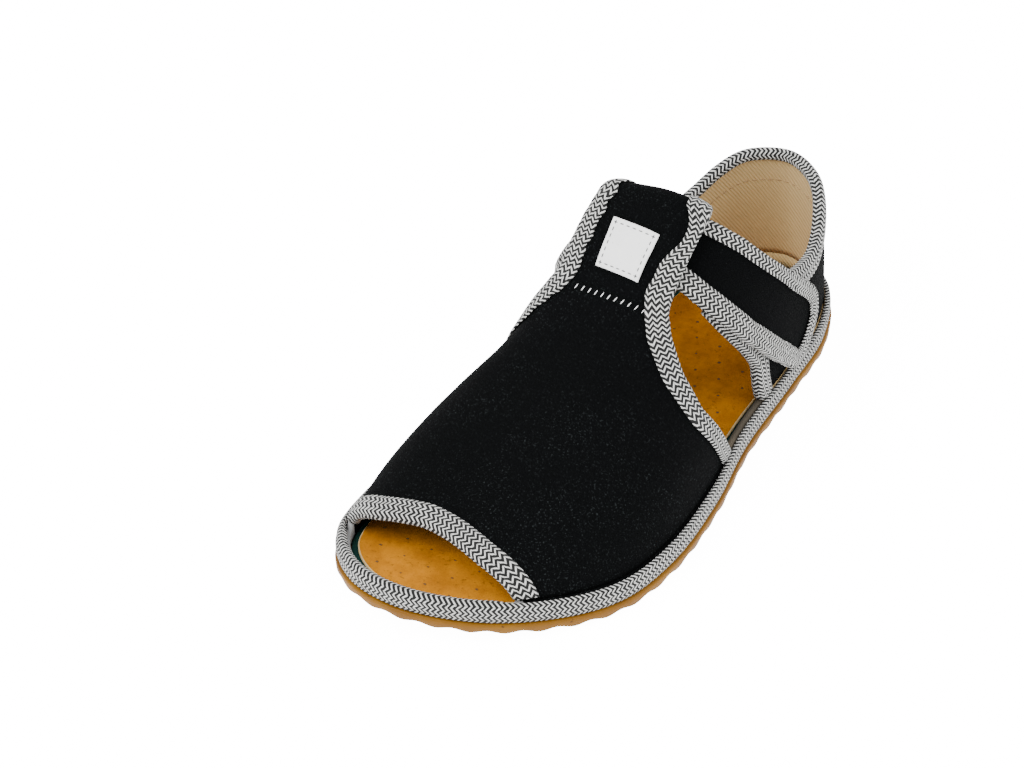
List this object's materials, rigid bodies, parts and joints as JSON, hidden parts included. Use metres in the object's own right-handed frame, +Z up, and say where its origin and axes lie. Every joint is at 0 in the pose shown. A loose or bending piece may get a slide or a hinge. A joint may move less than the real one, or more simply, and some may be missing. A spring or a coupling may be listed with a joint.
{
  "type": "childrens slipper",
  "caption": "Open-toe childrens slipper with a hollow felt upper, T-bar loop, closing strap, side cut-outs, woven edge tape and a thin lugged sole.",
  "frame": {"origin": "middle of the part's box, on the floor under the sole", "axes": "+Z up from the floor, +Y from the toe to the heel, +X to the outer (lateral) side of the left foot"},
  "size_m": [0.0806, 0.1884, 0.0694],
  "materials": {
    "outsole": "caramel gum rubber, matt, slightly translucent",
    "sole_binding": "black and off-white herringbone tape",
    "insole_foam": "dark green foam, matt",
    "insole": "ochre leather footbed with small perforations",
    "upper": "near-black matt felt, lined in beige at the heel",
    "toe_binding": "black and off-white herringbone tape",
    "tbar_binding_lateral": "black and off-white herringbone tape",
    "tbar_binding_medial": "black and off-white herringbone tape",
    "collar_binding": "black and off-white herringbone tape",
    "wing_binding_lateral": "black and off-white herringbone tape",
    "wing_binding_medial": "black and off-white herringbone tape",
    "strap": "near-black matt felt",
    "strap_binding": "black and off-white herringbone tape",
    "loop_pad": "grey fastening pad",
    "label": "white woven patch, bare"
  },
  "bodies": {
    "root": {"outsole": "outsole", "sole_binding": "sole_binding", "insole_foam": "insole_foam", "insole": "insole", "upper": "upper", "toe_binding": "toe_binding", "tbar_binding_lateral": "tbar_binding_lateral", "tbar_binding_medial": "tbar_binding_medial", "collar_binding": "collar_binding", "wing_binding_lateral": "wing_binding_lateral", "wing_binding_medial": "wing_binding_medial", "strap": "strap", "strap_binding": "strap_binding", "loop_pad": "loop_pad", "label": "label"}
  },
  "joints": []
}
